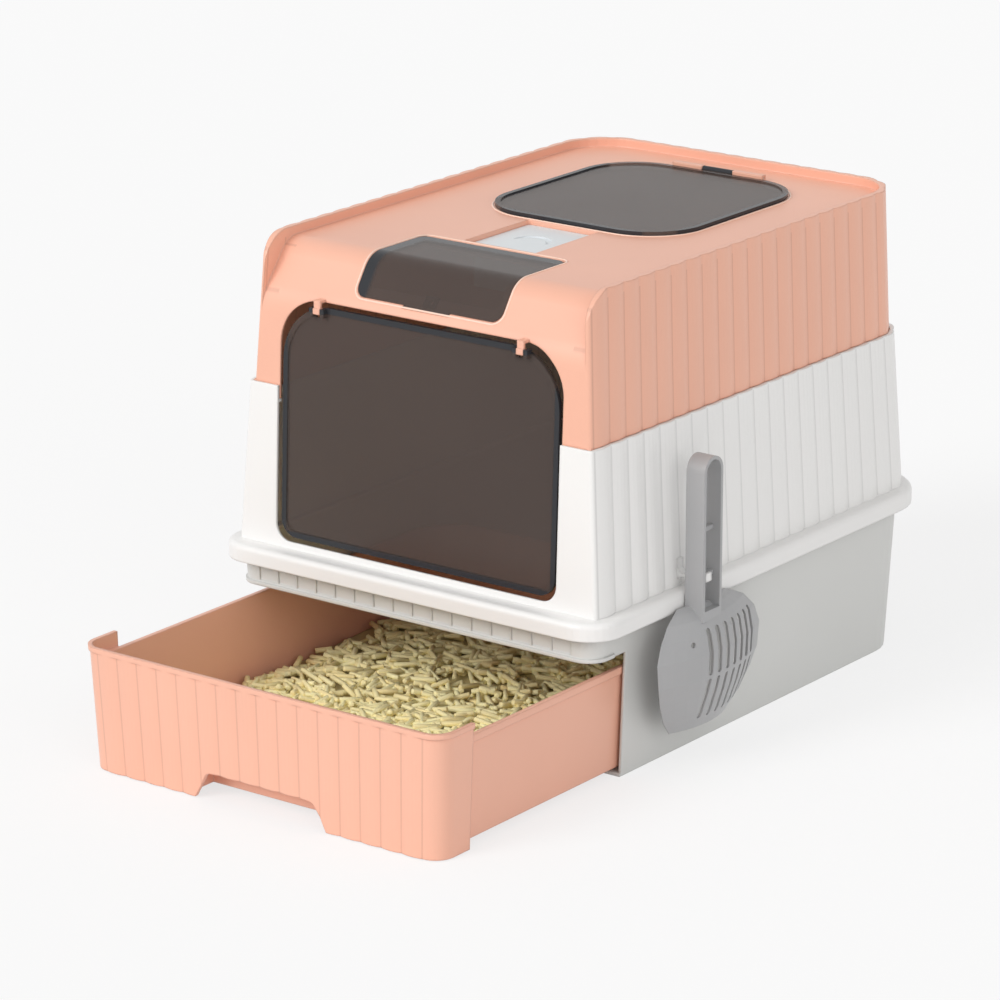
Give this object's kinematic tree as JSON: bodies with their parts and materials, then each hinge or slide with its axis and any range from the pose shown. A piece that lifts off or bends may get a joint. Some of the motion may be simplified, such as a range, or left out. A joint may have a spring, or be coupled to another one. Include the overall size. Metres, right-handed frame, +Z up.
{
  "type": "drawer litter box",
  "caption": "Enclosed litter box with a pull-out drawer, swinging clear front flap, hinged clear top lid and brow visor, and a hanging scoop.",
  "frame": {"origin": "on the floor under the middle of the cabin", "axes": "+Z up; -Y towards the front, where the drawer pulls out; +X towards the side with the scoop"},
  "size_m": [0.4376, 0.7244, 0.4225],
  "materials": {
    "grey_plastic": "satin",
    "pink_plastic": "satin",
    "litter_pellets": "matte",
    "white_plastic": "satin",
    "smoky_clear": "gloss",
    "pin_steel": "satin",
    "dark_plastic": "satin",
    "pale_plastic": "satin",
    "deodorizer_cake": "matte",
    "scoop_plastic": "satin"
  },
  "bodies": {
    "base": {"base_tub": "grey_plastic"},
    "drawer": {"drawer_tray": "pink_plastic", "litter_bed": "litter_pellets"},
    "shell": {"middle_shell": "white_plastic"},
    "hood": {"top_hood": "pink_plastic", "lid_hinge_pin": "pin_steel", "lid_catch": "pink_plastic", "visor_hinge_pins": "pin_steel"},
    "flap": {"front_flap": "smoky_clear"},
    "lid": {"top_lid": "smoky_clear"},
    "visor": {"front_visor": "smoky_clear", "visor_catch": "dark_plastic"},
    "cassette": {"deodorizer_box": "pale_plastic", "deodorizer_block": "deodorizer_cake"},
    "cover": {"deodorizer_cover": "pale_plastic"},
    "scoop": {"litter_scoop": "scoop_plastic"}
  },
  "joints": [
    {"name": "drawer_slide", "type": "slide", "parent": "base", "child": "drawer", "axis": [0, -1, 0], "range_m": [-0.208, 0.12]},
    {"name": "shell_lift", "type": "slide", "parent": "base", "child": "shell", "axis": [0, 0, 1], "range_m": [0, 0.1]},
    {"name": "hood_lift", "type": "slide", "parent": "shell", "child": "hood", "axis": [0, 0, 1], "range_m": [0, 0.1]},
    {"name": "scoop_lift", "type": "slide", "parent": "shell", "child": "scoop", "axis": [0, 0, 1], "range_m": [0, 0.012]},
    {"name": "flap_swing", "type": "hinge", "parent": "hood", "child": "flap", "pos_m": [0, -0.23731, 0.3653], "axis": [1, 0, 0], "range_deg": [-70, 70]},
    {"name": "lid_open", "type": "hinge", "parent": "hood", "child": "lid", "pos_m": [0, 0.208, 0.4179], "axis": [-1, 0, 0], "range_deg": [0, 105]},
    {"name": "visor_open", "type": "hinge", "parent": "hood", "child": "visor", "pos_m": [0, -0.1336, 0.4109], "axis": [-1, 0, 0], "range_deg": [0, 95]},
    {"name": "cassette_lift", "type": "slide", "parent": "hood", "child": "cassette", "axis": [0, 0, 1], "range_m": [0, 0.05]},
    {"name": "cover_lift", "type": "slide", "parent": "cassette", "child": "cover", "axis": [0, 0, 1], "range_m": [0, 0.03]}
  ]
}
